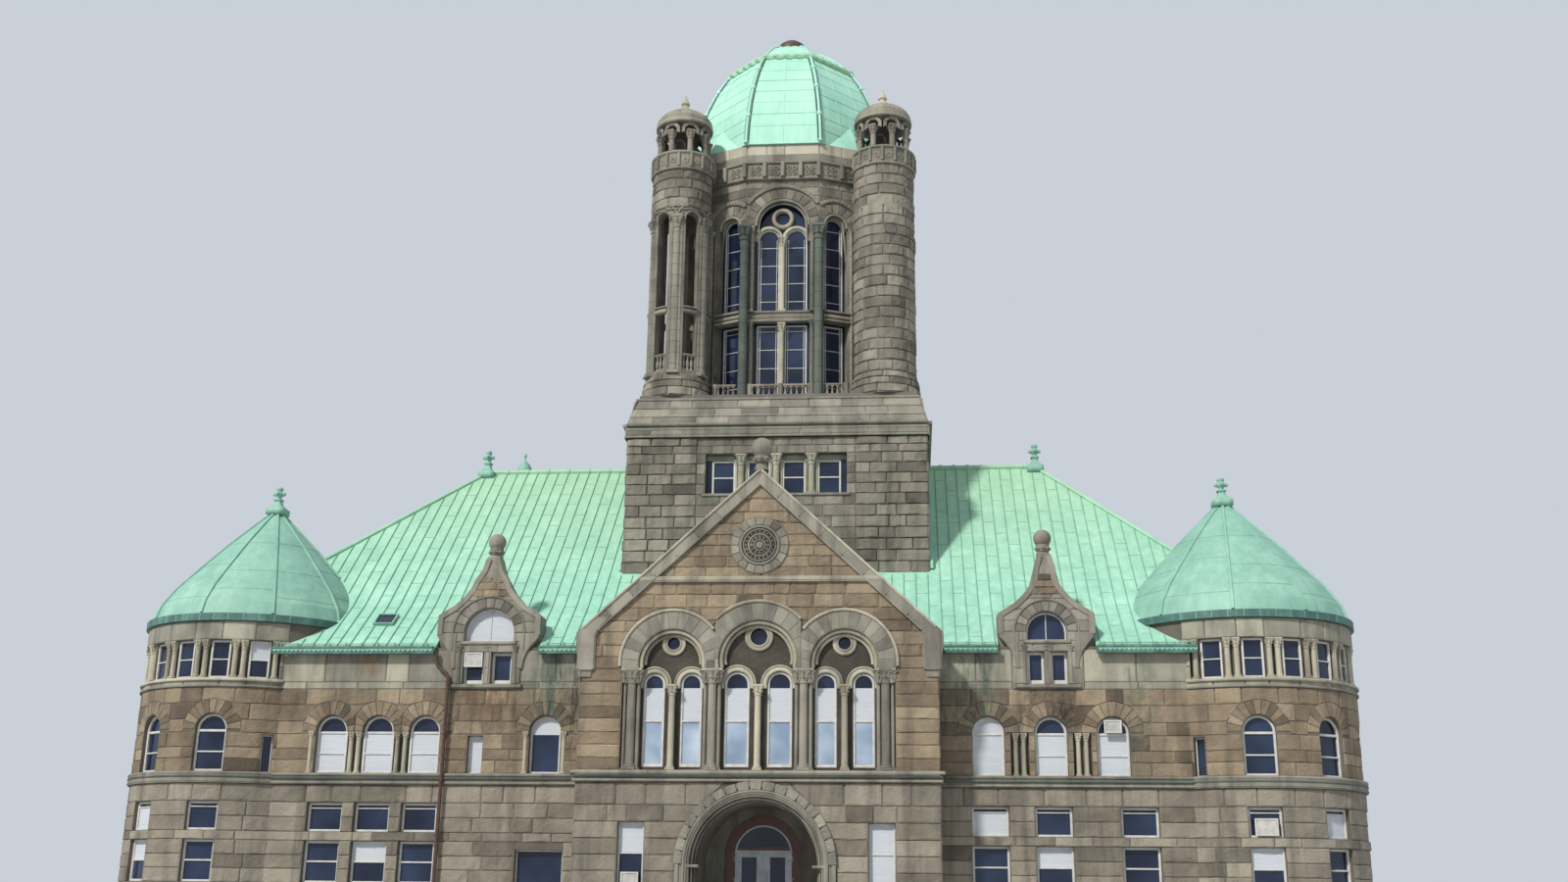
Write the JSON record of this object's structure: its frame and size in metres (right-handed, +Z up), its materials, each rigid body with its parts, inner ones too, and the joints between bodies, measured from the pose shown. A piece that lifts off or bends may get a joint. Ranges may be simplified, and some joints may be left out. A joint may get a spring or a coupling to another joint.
{
  "type": "half-scale model of a courthouse",
  "caption": "Half-scale model of a granite courthouse with round corner towers, a gabled entrance pavilion, a domed lantern tower and entrance doors that open.",
  "frame": {"origin": "ground level on the axis of the entrance, in the front face of the gabled pavilion", "axes": "+X along the front to the right seen from outside, +Y back into the building, +Z up"},
  "size_m": [23.3998, 12.62, 20.7],
  "materials": {
    "rough_granite": "rock-faced blocks",
    "grey_granite": "rock-faced blocks",
    "dressed_granite": "dressed",
    "copper": "green patina in standing-seam sheets",
    "white_sash": "satin",
    "glass": "clear",
    "varnished_wood": "varnished",
    "white_door": "painted",
    "floor": "plain",
    "pin_steel": "brushed"
  },
  "bodies": {
    "building": {"arcade_arch_rings": "dressed_granite", "arcade_columns": "dressed_granite", "arcade_tracery": "white_sash", "ball_finials": "dressed_granite", "balustrade": "dressed_granite", "belt_course": "dressed_granite", "broaches": "copper", "cone_roofs": "copper", "dome": "copper", "dome_cap": "copper", "dome_ribs": "copper", "door_surround": "varnished_wood", "door_wall": "dressed_granite", "dormer_fronts": "rough_granite", "end_roofs": "copper", "entrance_arch": "dressed_granite", "fanlight": "glass", "first_storey_windows": "white_sash", "front_roof": "copper", "front_steps": "dressed_granite", "gable_coping": "dressed_granite", "gable_roofs": "copper", "gable_rosette": "dressed_granite", "gutters": "copper", "hinge_pins": "pin_steel", "lantern_columns": "dressed_granite", "lantern_frieze": "dressed_granite", "lantern_walls": "rough_granite", "left_tower_wall": "rough_granite", "left_wing_front": "rough_granite", "pavilion_gable_wall": "rough_granite", "pavilion_lower_wall": "grey_granite", "plinth": "grey_granite", "porch_walls": "dressed_granite", "rear_roof": "copper", "rear_wall": "rough_granite", "right_tower_wall": "rough_granite", "right_wing_front": "rough_granite", "roof_finials": "copper", "second_storey_windows": "white_sash", "side_walls": "rough_granite", "storey_floors": "floor", "third_storey_windows": "white_sash", "tower_base_walls": "rough_granite", "tower_cornice": "dressed_granite", "tower_floors": "floor", "tower_piers": "rough_granite", "tower_windows": "white_sash", "turret_caps": "dressed_granite", "turret_shafts": "dressed_granite", "wall_colonnettes": "dressed_granite"},
    "left_leaf": {"left_door": "white_door", "left_door_glass": "glass"},
    "right_leaf": {"right_door": "white_door", "right_door_glass": "glass"}
  },
  "joints": [
    {"name": "left_door_hinge", "type": "hinge", "parent": "building", "child": "left_leaf", "pos_m": [-0.5125, 1.55, 1], "axis": [0, 0, 1], "range_deg": [-90, 0]},
    {"name": "right_door_hinge", "type": "hinge", "parent": "building", "child": "right_leaf", "pos_m": [0.5125, 1.55, 1], "axis": [0, 0, 1], "range_deg": [0, 90]}
  ]
}
